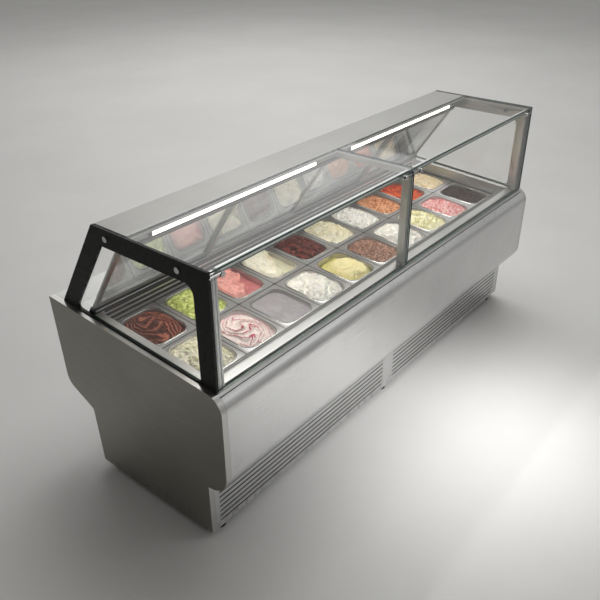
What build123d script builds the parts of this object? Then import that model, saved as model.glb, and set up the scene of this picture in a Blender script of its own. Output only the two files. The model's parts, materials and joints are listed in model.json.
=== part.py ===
from build123d import *
import math
import os

# Ice cream dipping cabinet.
# Frame: +X along the cabinet, -Y is the customers' side, +Y the server's side, +Z up.
# The origin is on the floor, under the middle of the cabinet. All sizes are in millimetres.

# ---------------------------------------------------------------- driving dimensions

LENGTH = 2850.0
HALF_DEPTH = 555.0
FRAME_TOP_Z = 1376.0
REAR_EDGE_Z = 914.0
TOP_TILT = 4.0
FOOT_HEIGHT = 35.0
COLUMNS = 10

# Body outline, seen from the end.
BASE_FRONT_Y = -440.0
BASE_REAR_Y = 333.0
OVERHANG_Z = 322.0
REAR_KNEE = (529.0, 437.0)
REAR_HEEL = (354.0, 348.0)
LIP_RADIUS = 110.0
BROW_RADIUS = 85.0
KNEE_RADIUS = 75.0
HEEL_RADIUS = 25.0

# Sheet metal.
SHEET = 1.5
LEDGE_SHEET = 3.0
END_PANEL_DEPTH = 30.0
PANEL_GAP = 1.0
JOINT_GAP = 3.0
FRONT_JOINT_Z = 823.0
REAR_JOINT_Z = 890.0

# Refrigerated well.
WELL_HALF_LENGTH = 1345.0
WELL_FRONT_Y = -440.0
WELL_REAR_Y = 270.0
WELL_FLOOR_Z = 470.0
LINER = 1.2
FOAM = 60.0
LEDGE_INNER_Y = -446.0
SEAL_Y = (-495.0, -489.0)
SEAL_HEIGHT = 5.0
GRILLE_WIDTH = 32.0
GRILLE_HEIGHT = 22.0
GRILLE_DROP = 8.0
GRILLE_SLOTS = 3

# Deck and pans.
DECK_DROP = 67.0
DECK_MIDDLE_Y = -57.0
PAN_PITCH_X = 266.0
PAN_PITCH_Y = 314.0
PAN_WIDTH = 262.0
PAN_LENGTH = 308.0
PAN_OPENING = (214.0, 262.0)
PAN_CORNER = 55.0
PAN_DEPTH = 150.0
PAN_WALL = 1.2
PAN_TAPER = 3.0
DECK_BAR = 22.0
DECK_BAR_DEPTH = 16.0

# Glass superstructure.
FRAME_FOOT_Y = 476.0
FRAME_SHOULDER_Y = 164.0
GLASS_FRONT_Y = -508.0
FRAME_OUTER_X = 1400.0
FRAME_THICK = 12.0
FRAME_BAND = 85.0
FRAME_SILL = 6.0
PANE = 6.0
TOP_PANE = 8.0
SHELF_FRONT_Y = -12.0
SHELF_BOTTOM_Z = 1318.0
POST_WIDTH = 40.0
POST_DEPTH = 26.0
MULLION_HALF = 18.0
MULLION_DEPTH = 41.0
HINGE_Z = 1346.0
CLAMP_RADIUS = 11.0
CLAMP_INSET = 60.0
PIN_RADIUS = 4.0
FIT = 0.06

# Rear sliding doors, measured up the slope (s) and inwards from the frame's rear edge (d).
DOOR_COUNT = 4
DOOR_WIDTH = 705.0
DOOR_THICK = 10.0
DOOR_BOTTOM_S = 108.0
DOOR_TOP_S = 577.0
DOOR_OUTER_D = 146.0
DOOR_INNER_D = 160.0
DOOR_ROW_HALF = 1380.0

# Base.
TUBE = 40.0
TUBE_WALL = 2.5
FOOT_STEM_RADIUS = 6.0
FOOT_X = (-1340.0, 0.0, 1340.0)
FOOT_Y = (-400.0, 295.0)
UNIT_X = 800.0
FAN_RADIUS = 118.0

# Values worked out from the driving dimensions.
TILT = math.radians(TOP_TILT)
SKIN_HALF = LENGTH / 2 - END_PANEL_DEPTH - PANEL_GAP
PANE_Y = GLASS_FRONT_Y + PANE / 2
CARRIER_HALF = FRAME_OUTER_X - FRAME_THICK


def top_z(y):
    """Height of the body's sloping top edge at a given depth."""
    return REAR_EDGE_Z - (HALF_DEPTH - y) * math.tan(TILT)


# ---------------------------------------------------------------- small helpers


def block(x0, x1, y0, y1, z0, z1):
    centre = Pos((x0 + x1) / 2, (y0 + y1) / 2, (z0 + z1) / 2)
    return centre * Box(x1 - x0, y1 - y0, z1 - z0)


def along_x(section, x0, x1):
    """Extrude a section drawn as (y, z) between two stations of the length."""
    return extrude(Plane.YZ.offset(x0) * section, amount=x1 - x0)


def region(y0, y1, z0, z1):
    return Pos((y0 + y1) / 2, (z0 + z1) / 2) * Rectangle(y1 - y0, z1 - z0)


def slope_bar(depths, low, high):
    """A strip section parallel to the body's top line, between two heights from that line."""
    y0, y1 = depths
    corners = [(y0, low), (y1, low), (y1, high), (y0, high), (y0, low)]
    return make_face(Polyline(*[(y, top_z(y) + rise) for y, rise in corners]))


def outline(corners, radii):
    """A closed section from its corners, each with its own radius."""
    return make_face(FilletPolyline(*corners, radius=radii, close=True))


def rod(radius, start, end):
    """A round bar between two points."""
    a = Vector(*start)
    b = Vector(*end)
    axis = b - a
    return Plane(origin=a, z_dir=axis) * Cylinder(
        radius, axis.length, align=(Align.CENTER, Align.CENTER, Align.MIN)
    )


def inset(corners, distances):
    """Corners of a polygon whose edges are moved inwards by their own distances.

    Corners run anticlockwise; distances[i] belongs to the edge from corner i to corner i + 1.
    """
    moved = []
    count = len(corners)
    for i in range(count):
        (ax, ay), (bx, by) = corners[i], corners[(i + 1) % count]
        run = math.hypot(bx - ax, by - ay)
        ux, uy = (bx - ax) / run, (by - ay) / run
        moved.append((ax - uy * distances[i], ay + ux * distances[i], ux, uy))
    result = []
    for i in range(count):
        px, py, ux, uy = moved[i - 1]
        qx, qy, vx, vy = moved[i]
        t = ((qx - px) * vy - (qy - py) * vx) / (ux * vy - uy * vx)
        result.append((px + ux * t, py + uy * t))
    return result


def save(name, shape):
    shape.label = name
    export_step(shape, f"parts/{name}.step")


def group(*solids):
    """Several separate solids kept together in one sub-part."""
    return Compound(children=[s for item in solids for s in item.solids()])


# ---------------------------------------------------------------- shared sections and planes

BODY_CORNERS = [
    (BASE_FRONT_Y, FOOT_HEIGHT),
    (BASE_REAR_Y, FOOT_HEIGHT),
    REAR_HEEL,
    REAR_KNEE,
    (HALF_DEPTH, REAR_EDGE_Z),
    (-HALF_DEPTH, top_z(-HALF_DEPTH)),
    (-HALF_DEPTH, OVERHANG_Z),
    (BASE_FRONT_Y, OVERHANG_Z),
]
BODY_RADII = [3, 10, HEEL_RADIUS, KNEE_RADIUS, 4, BROW_RADIUS, LIP_RADIUS, 4]
BODY = outline(BODY_CORNERS, BODY_RADII)
SKIN = BODY - offset(BODY, amount=-SHEET)
THICK_SKIN = BODY - offset(BODY, amount=-LEDGE_SHEET)
UNDER_TOP = make_face(
    Polyline(
        (-700, top_z(-700)), (-700, 0), (700, 0), (700, top_z(700)), (-700, top_z(-700))
    )
)

# Anticlockwise from the rear foot of the end frame: up the rear leg, forwards, down the front.
FRAME_CORNERS = [
    (GLASS_FRONT_Y, top_z(GLASS_FRONT_Y)),
    (FRAME_FOOT_Y, top_z(FRAME_FOOT_Y)),
    (FRAME_SHOULDER_Y, FRAME_TOP_Z),
    (GLASS_FRONT_Y, FRAME_TOP_Z),
]
LEG_RUN = math.hypot(
    FRAME_FOOT_Y - FRAME_SHOULDER_Y, FRAME_TOP_Z - top_z(FRAME_FOOT_Y)
)
LEG_Y = (FRAME_SHOULDER_Y - FRAME_FOOT_Y) / LEG_RUN
LEG_Z = (FRAME_TOP_Z - top_z(FRAME_FOOT_Y)) / LEG_RUN

# Local x is the cabinet's X, local y runs up the doors' slope, local z runs inwards.
DOOR_PLANE = Plane(
    origin=(0, FRAME_FOOT_Y, top_z(FRAME_FOOT_Y)), x_dir=(1, 0, 0), z_dir=(0, -LEG_Z, LEG_Y)
)

# Local x is the cabinet's X, local y runs up the deck's slope, local z is the deck's normal.
DECK_PLANE = Plane(
    origin=(0, DECK_MIDDLE_Y, top_z(DECK_MIDDLE_Y) - DECK_DROP),
    x_dir=(1, 0, 0),
    z_dir=(0, -math.sin(TILT), math.cos(TILT)),
)


# ---------------------------------------------------------------- body panels


def end_panel(side):
    """A folded tray: an outer sheet with a rim turned inwards all round."""
    outer = LENGTH / 2
    sheet = along_x(BODY, outer - SHEET, outer)
    rim = along_x(SKIN, outer - END_PANEL_DEPTH, outer - SHEET)
    panel = sheet + rim
    return panel if side > 0 else mirror(panel, about=Plane.YZ)


def front_panel():
    """The customers' front sheet, rolled over at the brow and under at the lip."""
    section = SKIN & region(-600, BASE_FRONT_Y + 5, OVERHANG_Z - 4, FRONT_JOINT_Z)
    return along_x(section, -SKIN_HALF, SKIN_HALF)


SLOT_COUNT = 8
SLOT_PITCH = 28.0
SLOT_HEIGHT = 9.0
SLOT_LOWEST_Z = 73.0
SLOT_X = (53.0, 1370.0)


def slot_cutters(x0, x1, y0, y1, count, lowest):
    """Straight vent slots with round ends, one above the other."""
    cutters = []
    for i in range(count):
        centre = Pos((x0 + x1) / 2, (y0 + y1) / 2, lowest + i * SLOT_PITCH)
        face = Plane.XZ * SlotOverall(x1 - x0, SLOT_HEIGHT)
        cutters.append(centre * extrude(face, amount=(y1 - y0) / 2, both=True))
    return cutters


def base_front_panel():
    """The recessed base front, with two groups of long vent slots."""
    section = SKIN & region(BASE_FRONT_Y - 5, BASE_FRONT_Y + 5, FOOT_HEIGHT, OVERHANG_Z - 5)
    panel = along_x(section, -SKIN_HALF, SKIN_HALF)
    for x0, x1 in (SLOT_X, (-SLOT_X[1], -SLOT_X[0])):
        for cutter in slot_cutters(
            x0, x1, BASE_FRONT_Y - 10, BASE_FRONT_Y + 10, SLOT_COUNT, SLOT_LOWEST_Z
        ):
            panel -= cutter
    return panel


REAR_SLOT_X = (560.0, 1040.0)
REAR_SLOT_COUNT = 7
CONTROL_X = 1050.0
CONTROL_Z = 760.0
CONTROL_SIZE = (300.0, 90.0)
DRAIN_X = -300.0
DRAIN_Z = 110.0
DRAIN_RADIUS = 16.0
GLAND_X = 1250.0
GLAND_Z = 110.0
GLAND_RADIUS = 10.0


def rear_face_y(z):
    """Depth of the upper rear face at a given height."""
    share = (z - REAR_KNEE[1]) / (REAR_EDGE_Z - REAR_KNEE[1])
    return REAR_KNEE[0] + share * (HALF_DEPTH - REAR_KNEE[0])


def base_rear_y(z):
    """Depth of the base's rear face at a given height."""
    share = (z - FOOT_HEIGHT) / (REAR_HEEL[1] - FOOT_HEIGHT)
    return BASE_REAR_Y + share * (REAR_HEEL[0] - BASE_REAR_Y)


REAR_LEAN = math.atan2(HALF_DEPTH - REAR_KNEE[0], REAR_EDGE_Z - REAR_KNEE[1])
CONTROL_PLANE = Plane(
    origin=(CONTROL_X, rear_face_y(CONTROL_Z), CONTROL_Z),
    x_dir=(-1, 0, 0),
    z_dir=(0, math.cos(REAR_LEAN), -math.sin(REAR_LEAN)),
)


def rear_panel():
    """The server's side sheet, from the ledge joint down to the base."""
    section = SKIN & region(BASE_REAR_Y - 5, 600, FOOT_HEIGHT + 12, REAR_JOINT_Z - PANEL_GAP)
    panel = along_x(section, -SKIN_HALF, SKIN_HALF)
    for cutter in slot_cutters(*REAR_SLOT_X, 300, 380, REAR_SLOT_COUNT, SLOT_LOWEST_Z + 20):
        panel -= cutter
    width, height = CONTROL_SIZE
    panel -= CONTROL_PLANE * Box(width - 30, height - 30, 20)
    panel -= rod(DRAIN_RADIUS + 2, (DRAIN_X, 300, DRAIN_Z), (DRAIN_X, 380, DRAIN_Z))
    panel -= rod(GLAND_RADIUS, (GLAND_X, 300, GLAND_Z), (GLAND_X, 380, GLAND_Z))
    return panel


def front_ledge():
    """The stainless sill under the front glass, its glass seals and the louvred air grille."""
    sill_section = THICK_SKIN & region(-600, LEDGE_INNER_Y, FRONT_JOINT_Z + JOINT_GAP, 950)
    lip_section = region(LEDGE_INNER_Y, LEDGE_INNER_Y + 3, 770, 870) & UNDER_TOP
    sill = along_x(sill_section + lip_section, -SKIN_HALF, SKIN_HALF)
    near, far = MULLION_HALF + 30, CARRIER_HALF - PANE - POST_WIDTH - 8
    seals = []
    for x0, x1 in ((near, far), (-far, -near)):
        seals.append(along_x(slope_bar(SEAL_Y, 0, SEAL_HEIGHT), x0, x1))
    grille_y0, grille_y1 = WELL_FRONT_Y, WELL_FRONT_Y + GRILLE_WIDTH
    grille_section = slope_bar((grille_y0, grille_y1), -GRILLE_DROP - GRILLE_HEIGHT, -GRILLE_DROP)
    for k in range(GRILLE_SLOTS):
        y = grille_y0 + (k + 0.5) * GRILLE_WIDTH / GRILLE_SLOTS
        grille_section -= slope_bar((y - 2, y + 2), -GRILLE_DROP - 8, -GRILLE_DROP + 1)
    grille = along_x(grille_section, -WELL_HALF_LENGTH, WELL_HALF_LENGTH)
    return group(sill, *seals, grille)


def rear_ledge():
    """The stainless worktop strip behind the sliding doors, turned down at the rear."""
    section = THICK_SKIN & region(400, 600, REAR_JOINT_Z, 950)
    return along_x(section, -SKIN_HALF, SKIN_HALF)


# ---------------------------------------------------------------- base


def square_tube(axis, start, end):
    """A box section tube along one of the three axes."""
    (x0, y0, z0), (x1, y1, z1) = start, end
    wall = TUBE_WALL
    outer = block(x0, x1, y0, y1, z0, z1)
    bx, by, bz = (0 if axis == name else wall for name in "xyz")
    return outer - block(x0 + bx, x1 - bx, y0 + by, y1 - by, z0 + bz, z1 - bz)


def base_frame():
    """Box section chassis: two long rails, cross members, uprights and tank bearers."""
    low, high = FOOT_HEIGHT + SHEET, WELL_FLOOR_Z - LINER - FOAM
    rail_y = [(y - TUBE / 2, y + TUBE / 2) for y in FOOT_Y]
    (front0, front1), (rear0, rear1) = rail_y
    half = SKIN_HALF - 4
    tubes = []
    for y, (y0, y1) in zip(FOOT_Y, rail_y):
        rail = square_tube("x", (-half, y0, low), (half, y1, low + TUBE))
        for x in FOOT_X:
            rail += rod(15, (x, y, low), (x, y, low + 26))
            rail -= rod(FOOT_STEM_RADIUS + FIT, (x, y, low - 1), (x, y, low + 34))
        tubes.append(rail)
    for x in (*FOOT_X, UNIT_X - 300, UNIT_X + 300):
        x0, x1 = x - TUBE / 2, x + TUBE / 2
        tubes.append(square_tube("y", (x0, front1, low), (x1, rear0, low + TUBE)))
    for x in FOOT_X:
        x0, x1 = x - TUBE / 2, x + TUBE / 2
        for y0, y1 in rail_y:
            tubes.append(square_tube("z", (x0, y0, low + TUBE), (x1, y1, high - TUBE)))
        tubes.append(square_tube("y", (x0, front0, high - TUBE), (x1, rear1, high)))
    return group(*tubes)


def foot(x, y):
    """A levelling foot: a wide rubber pad on a threaded stem."""
    pad = Pos(x, y, 0) * Cone(
        26, 20, 14, align=(Align.CENTER, Align.CENTER, Align.MIN)
    )
    nut = Pos(x, y, 14) * extrude(RegularPolygon(11, 6), amount=9)
    return pad + nut + rod(FOOT_STEM_RADIUS, (x, y, 23), (x, y, FOOT_HEIGHT + 28))


# ---------------------------------------------------------------- refrigerated well


DRAIN_WELL_Y = -60.0


def insulation():
    """The foam tub round the well, built up from five slabs."""
    z0 = WELL_FLOOR_Z - LINER - FOAM
    front = WELL_FRONT_Y - LINER - FOAM
    rear = WELL_REAR_Y + LINER + FOAM
    inner_front, inner_rear = WELL_FRONT_Y - LINER, WELL_REAR_Y + LINER
    inner_half = WELL_HALF_LENGTH + LINER
    outer_half = SKIN_HALF - 1
    room = offset(BODY, amount=-(LEDGE_SHEET + 1))
    floor = along_x(room & region(front, rear, z0, z0 + FOAM), -outer_half, outer_half)
    floor -= rod(DRAIN_RADIUS + 1, (DRAIN_X, DRAIN_WELL_Y, z0 - 5), (DRAIN_X, DRAIN_WELL_Y, 480))
    front_wall = along_x(
        room & region(front, inner_front, z0 + FOAM, 950), -outer_half, outer_half
    )
    front_wall -= block(-2000, 2000, LEDGE_INNER_Y - 1, LEDGE_INNER_Y + 5, 765, 900)
    rear_wall = along_x(room & region(inner_rear, rear, z0 + FOAM, 950), -outer_half, outer_half)
    end_section = room & region(inner_front, inner_rear, z0 + FOAM, 950)
    end = along_x(end_section, inner_half, outer_half)
    return group(floor, front_wall, rear_wall, end, mirror(end, about=Plane.YZ))


def tank_liner():
    """The stainless tub, bent up from flat sheets, with its flange over the foam."""
    under_top = along_x(UNDER_TOP, -1500, 1500)
    x_half, y0, y1, z0 = WELL_HALF_LENGTH, WELL_FRONT_Y, WELL_REAR_Y, WELL_FLOOR_Z
    floor = block(-x_half - LINER, x_half + LINER, y0 - LINER, y1 + LINER, z0 - LINER, z0)
    floor -= rod(DRAIN_RADIUS - 3, (DRAIN_X, DRAIN_WELL_Y, 460), (DRAIN_X, DRAIN_WELL_Y, 480))
    front = block(-x_half - LINER, x_half + LINER, y0 - LINER, y0, z0, 1000) & under_top
    rear = block(-x_half - LINER, x_half + LINER, y1, y1 + LINER, z0, 1000) & under_top
    end = block(x_half, x_half + LINER, y0, y1, z0, 1000) & under_top
    flange_rear = 399.0
    side_flange = along_x(
        slope_bar((y0, y1), -LINER, 0), x_half + LINER, SKIN_HALF - 1
    )
    rear_flange = along_x(
        slope_bar((y1 + LINER, flange_rear), -LINER, 0), -SKIN_HALF + 1, SKIN_HALF - 1
    )
    mirrored = [mirror(part, about=Plane.YZ) for part in (end, side_flange)]
    return group(floor, front, rear, end, side_flange, rear_flange, *mirrored)


def deck_frame():
    """The grid that the pans hang from: three long bars with cross bars between them."""
    half = WELL_HALF_LENGTH
    depth = PAN_PITCH_Y + 10
    edge = depth - DECK_BAR - 6
    z0 = -DECK_BAR_DEPTH
    bars = [
        block(-half, half, -depth, -edge, z0, 0),
        block(-half, half, -DECK_BAR / 2, DECK_BAR / 2, z0, 0),
        block(-half, half, edge, depth, z0, 0),
    ]
    for i in range(COLUMNS + 1):
        x = (i - COLUMNS / 2) * PAN_PITCH_X
        x0, x1 = x - DECK_BAR / 2, x + DECK_BAR / 2
        bars.append(block(x0, x1, -edge, -DECK_BAR / 2, z0, 0))
        bars.append(block(x0, x1, DECK_BAR / 2, edge, z0, 0))
    return DECK_PLANE * group(*bars)


def pan(column, row):
    """A steel pan hung by its flange, and the ice cream in it, heaped a little above the rim."""
    flange_sketch = RectangleRounded(PAN_WIDTH, PAN_LENGTH, 8)
    opening = RectangleRounded(*PAN_OPENING, PAN_CORNER)
    inner_width, inner_length = (size - 2 * PAN_WALL for size in PAN_OPENING)
    hollow = RectangleRounded(inner_width, inner_length, PAN_CORNER - PAN_WALL)
    outer = extrude(opening, amount=-PAN_DEPTH, taper=PAN_TAPER)
    cavity = extrude(hollow, amount=-(PAN_DEPTH - PAN_WALL), taper=PAN_TAPER)
    flange = extrude(flange_sketch, amount=PAN_WALL) - extrude(hollow, amount=PAN_WALL)
    shell = outer - cavity + flange
    heap_sketch = RectangleRounded(inner_width - 30, inner_length - 30, PAN_CORNER - 15)
    heap = extrude(heap_sketch, amount=14, taper=35)
    place = DECK_PLANE * Pos(
        (column - (COLUMNS - 1) / 2) * PAN_PITCH_X, (row - 0.5) * PAN_PITCH_Y, 0
    )
    return group(place * shell, place * (cavity + heap))


# ---------------------------------------------------------------- glass superstructure

BOLT_Y = (78.0, -346.0)
BOLT_Z = 1334.0
BOLT_SHANK = 6.0


def end_frame(side):
    """The black end frame with its glazed window and the carrier strip for the top glass."""
    window_corners = inset(FRAME_CORNERS, [FRAME_SILL, FRAME_BAND, FRAME_BAND - 3, FRAME_BAND])
    ring = outline(FRAME_CORNERS, [2, 2, 4, 6]) - outline(window_corners, [25, 20, 6, 50])
    frame = along_x(ring, CARRIER_HALF, FRAME_OUTER_X)
    top = FRAME_TOP_Z - TOP_PANE - 1
    frame += block(
        CARRIER_HALF - 12, CARRIER_HALF, GLASS_FRONT_Y + 14, -62, top - 12, top
    )
    frame -= rod(
        PIN_RADIUS + FIT, (CARRIER_HALF - 1, PANE_Y, HINGE_Z), (CARRIER_HALF + 6, PANE_Y, HINGE_Z)
    )
    for y in BOLT_Y:
        frame -= rod(
            BOLT_SHANK + 0.5, (CARRIER_HALF - 5, y, BOLT_Z), (FRAME_OUTER_X + 5, y, BOLT_Z)
        )
    return frame if side > 0 else mirror(frame, about=Plane.YZ)


def end_glass_panes():
    """Both end panes, bolted behind the end frames."""
    corners = inset(FRAME_CORNERS, [3, 26, 24, 26])
    pane = along_x(outline(corners, [6, 6, 6, 6]), CARRIER_HALF - PANE, CARRIER_HALF)
    pane -= block(0, 1500, -600, 0, FRAME_TOP_Z - TOP_PANE - 14, FRAME_TOP_Z)
    for y in BOLT_Y:
        pane -= rod(BOLT_SHANK + 1, (1300, y, BOLT_Z), (1450, y, BOLT_Z))
    return group(pane, mirror(pane, about=Plane.YZ))


def glass_fittings():
    """Steel hardware: through bolts with caps, the middle pivot plate and the sill buttons."""
    solids = []
    for side in (-1, 1):
        for y in BOLT_Y:
            face = side * FRAME_OUTER_X
            back = side * (CARRIER_HALF - PANE)
            bolt = rod(14, (face, y, BOLT_Z), (face + side * 5, y, BOLT_Z))
            bolt = chamfer(bolt.faces().sort_by(Axis.X)[-1 if side > 0 else 0].edges(), 1.5)
            bolt += rod(BOLT_SHANK, (face, y, BOLT_Z), (back, y, BOLT_Z))
            bolt += rod(12, (back, y, BOLT_Z), (back - side * 5, y, BOLT_Z))
            solids.append(bolt)
        x = side * (MULLION_HALF + 16)
        solids.append(rod(8, (x, -476, top_z(-476) + 4), (x, -476, top_z(-476) + 22)))
    plate_front = GLASS_FRONT_Y - 5
    plate = block(-4, 4, plate_front, GLASS_FRONT_Y + 11, HINGE_Z - 14, HINGE_Z + 12)
    plate -= rod(PIN_RADIUS + FIT, (-5, PANE_Y, HINGE_Z), (5, PANE_Y, HINGE_Z))
    return group(plate, *solids)


def glass_posts():
    """Grooved corner posts, header rails behind the front glass, and the mullion with its arm."""
    front = GLASS_FRONT_Y + PANE + 8
    under_glass = FRAME_TOP_Z - TOP_PANE - 2
    below_top = along_x(UNDER_TOP, -1500, 1500)
    outer_x = CARRIER_HALF - PANE - 1
    inner_x = outer_x - POST_WIDTH
    corner = block(inner_x, outer_x, front, front + POST_DEPTH, 820, under_glass - 14)
    for x in (inner_x + 12, outer_x - 12):
        corner -= block(x - 2, x + 2, front, front + 4, 820, under_glass)
    corner -= below_top
    header = block(MULLION_HALF, inner_x, front + 4, front + 14, under_glass - 28, under_glass)
    mullion_front = GLASS_FRONT_Y + PANE + 5
    mullion_rear = mullion_front + MULLION_DEPTH
    mullion = block(
        -MULLION_HALF, MULLION_HALF, mullion_front, mullion_rear, 820, under_glass
    )
    for x in (-10, 10):
        mullion -= block(x - 2.5, x + 2.5, mullion_front, mullion_front + 5, 820, HINGE_Z - 30)
    mullion -= below_top
    arm = block(
        -MULLION_HALF, MULLION_HALF, mullion_rear, SHELF_FRONT_Y, under_glass - 30, under_glass
    )
    arm -= block(-50, 50, -60, SHELF_FRONT_Y, under_glass - 8, under_glass)
    mirrored = [mirror(part, about=Plane.YZ) for part in (corner, header)]
    return group(corner, header, mullion, arm, *mirrored)


def top_shelf():
    """A folded box shelf with the lip that carries the rear edge of the top glass."""
    rear_low = FRAME_SHOULDER_Y + (FRAME_TOP_Z - SHELF_BOTTOM_Z) * (
        FRAME_FOOT_Y - FRAME_SHOULDER_Y
    ) / (FRAME_TOP_Z - top_z(FRAME_FOOT_Y))
    top = FRAME_TOP_Z - 1
    corners = [
        (SHELF_FRONT_Y, SHELF_BOTTOM_Z),
        (rear_low - 24, SHELF_BOTTOM_Z),
        (FRAME_SHOULDER_Y, top),
        (SHELF_FRONT_Y, top),
    ]
    box = outline(corners, [2, 3, 3, 0])
    hollow = outline(inset(corners, [SHEET] * 4), [1, 1.5, 1.5, 0])
    glass_bottom = FRAME_TOP_Z - TOP_PANE - 1
    lip = region(-44, SHELF_FRONT_Y + 0.5, top - 3, top)
    lip += region(-44, -41, glass_bottom - 6, top)
    lip += region(-60, SHELF_FRONT_Y + 0.5, glass_bottom - 6, glass_bottom)
    half = CARRIER_HALF - PANE - 0.5
    return along_x(box - hollow + lip, -half, half)


def top_glass_panes():
    top = FRAME_TOP_Z - 1
    pane = block(2, CARRIER_HALF - 2, GLASS_FRONT_Y, -46, top - TOP_PANE, top)
    return group(pane, mirror(pane, about=Plane.YZ))


def led_lights():
    """Two slim strip lights on the front of the shelf."""
    light = block(143, 1253, SHELF_FRONT_Y - 14, SHELF_FRONT_Y, 1322, 1342)
    light = chamfer(light.edges().filter_by(Axis.X).sort_by(Axis.Y)[0:2], 3)
    return group(light, mirror(light, about=Plane.YZ))


def front_glass(side):
    """A lift-up front pane with its two pivot clamps."""
    near, far = 8.0, CARRIER_HALF - 2
    near_tip, far_tip = 0.5, CARRIER_HALF + 5
    front, rear = GLASS_FRONT_Y, GLASS_FRONT_Y + PANE
    top = HINGE_Z + 6
    clamp_z = HINGE_Z - 3
    pane = block(near, far, front, rear, top_z(front) + 3, top)
    clamps = []
    for edge, inward, tip in ((near, 1, near_tip), (far, -1, far_tip)):
        x = edge + inward * CLAMP_INSET
        x0, x1 = sorted((edge, x))
        pane -= block(x0 - 1, x1, front - 1, rear + 1, HINGE_Z - 10, top + 1)
        clamp = rod(CLAMP_RADIUS, (x, front - 5, clamp_z), (x, front, clamp_z))
        clamp += rod(CLAMP_RADIUS, (x, rear, clamp_z), (x, rear + 4, clamp_z))
        clamp += rod(PIN_RADIUS, (x, PANE_Y, HINGE_Z), (tip, PANE_Y, HINGE_Z))
        clamps.append(clamp)
    leaf = group(pane, *clamps)
    return leaf if side > 0 else mirror(leaf, about=Plane.YZ)


def door_start(index):
    """Left edge of a rear door."""
    return -DOOR_ROW_HALF + index * (2 * DOOR_ROW_HALF - DOOR_WIDTH) / (DOOR_COUNT - 1)


def rear_door(index):
    """A framed sliding glass door; even ones run in the outer track, odd ones in the inner."""
    x0 = door_start(index)
    x1 = x0 + DOOR_WIDTH
    d0 = DOOR_OUTER_D if index % 2 == 0 else DOOR_INNER_D
    d1 = d0 + DOOR_THICK
    stile, bottom_rail, top_rail = 28.0, 46.0, 30.0
    frame = block(x0, x1, DOOR_BOTTOM_S, DOOR_TOP_S, d0, d1)
    glass_s0, glass_s1 = DOOR_BOTTOM_S + bottom_rail, DOOR_TOP_S - top_rail
    frame -= block(x0 + stile, x1 - stile, glass_s0, glass_s1, d0, d1)
    grip_x = x0 + stile / 2 if index in (0, 2) else x1 - stile / 2
    grip_s = (DOOR_BOTTOM_S + DOOR_TOP_S) / 2
    frame -= block(grip_x - 8, grip_x + 8, grip_s - 70, grip_s + 70, d0, d0 + 6)
    glass = block(x0 + stile, x1 - stile, glass_s0, glass_s1, d0 + 3, d0 + 7)
    return DOOR_PLANE * group(frame, glass)


def door_tracks():
    """Two-groove running rails at the bottom and the top of the rear doors."""
    half = DOOR_ROW_HALF + 1
    d0, d1 = DOOR_OUTER_D - 6, DOOR_INNER_D + DOOR_THICK + 6
    bottom = block(-half, half, 30, DOOR_BOTTOM_S + 18, d0, d1)
    top = block(-half, half, DOOR_TOP_S - 18, DOOR_TOP_S + 7, d0, d1)
    for d in (DOOR_OUTER_D, DOOR_INNER_D):
        bottom -= block(-half, half, DOOR_BOTTOM_S - 2, 200, d - 1, d + DOOR_THICK + 1)
        top -= block(-half, half, 300, DOOR_TOP_S + 3, d - 1, d + DOOR_THICK + 1)
    bottom = DOOR_PLANE * bottom - along_x(UNDER_TOP, -1500, 1500)
    return group(bottom, DOOR_PLANE * top)


# ---------------------------------------------------------------- refrigeration and controls

CONDENSER_Y = (-385.0, -330.0)
FAN_Y = (-312.0, -286.0)
FAN_Z = 225.0
MOTOR_FACE_Y = -270.0
FIN_PITCH = 20.0
FIN_SLOTS = 19


def condensing_unit():
    """Plate, compressor with its lid, finned condenser, fan shroud and fan motor."""
    z0 = FOOT_HEIGHT + SHEET + TUBE
    plate = block(UNIT_X - 320, UNIT_X + 320, -395, 270, z0, z0 + 3)
    shell = Pos(UNIT_X, 60, z0 + 13) * Cylinder(
        95, 190, align=(Align.CENTER, Align.CENTER, Align.MIN)
    )
    shell = fillet(shell.edges().filter_by(GeomType.CIRCLE), 40)
    shell -= Pos(UNIT_X, 60, z0 + 43) * Cylinder(
        80, 130, align=(Align.CENTER, Align.CENTER, Align.MIN)
    )
    stands = [
        rod(12, (UNIT_X + dx, 60 + dy, z0 + 3), (UNIT_X + dx, 60 + dy, z0 + 30))
        for dx in (-60, 60)
        for dy in (-60, 60)
    ]
    compressor = shell
    for stand in stands:
        compressor += stand
    compressor += rod(9, (UNIT_X + 90, 60, z0 + 110), (UNIT_X + 150, 60, z0 + 110))
    y0, y1 = CONDENSER_Y
    x0, x1 = UNIT_X - 200, UNIT_X + 200
    condenser = block(x0, x1, y0, y1, z0 + 3, z0 + 293)
    for i in range(FIN_SLOTS):
        x = x0 + FIN_PITCH * (i + 1)
        condenser -= block(x - 6, x + 6, y0 - 1, y1 + 1, z0 + 15, z0 + 281)
    shroud = block(x0, x1, y1, y1 + 2, z0 + 3, z0 + 293)
    shroud -= rod(FAN_RADIUS + 8, (UNIT_X, y1 - 1, FAN_Z), (UNIT_X, y1 + 10, FAN_Z))
    sides = [block(x, x + 2, y1 + 2, y1 + 60, z0 + 3, z0 + 293) for x in (x0, x1 - 2)]
    motor = rod(38, (UNIT_X, MOTOR_FACE_Y, FAN_Z), (UNIT_X, MOTOR_FACE_Y + 70, FAN_Z))
    motor += block(UNIT_X - 12, UNIT_X + 12, MOTOR_FACE_Y + 10, MOTOR_FACE_Y + 60, z0 + 3, FAN_Z)
    motor -= rod(
        PIN_RADIUS + FIT, (UNIT_X, MOTOR_FACE_Y - 1, FAN_Z), (UNIT_X, MOTOR_FACE_Y + 20, FAN_Z)
    )
    return group(plate, compressor, condenser, shroud, *sides, motor)


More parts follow.
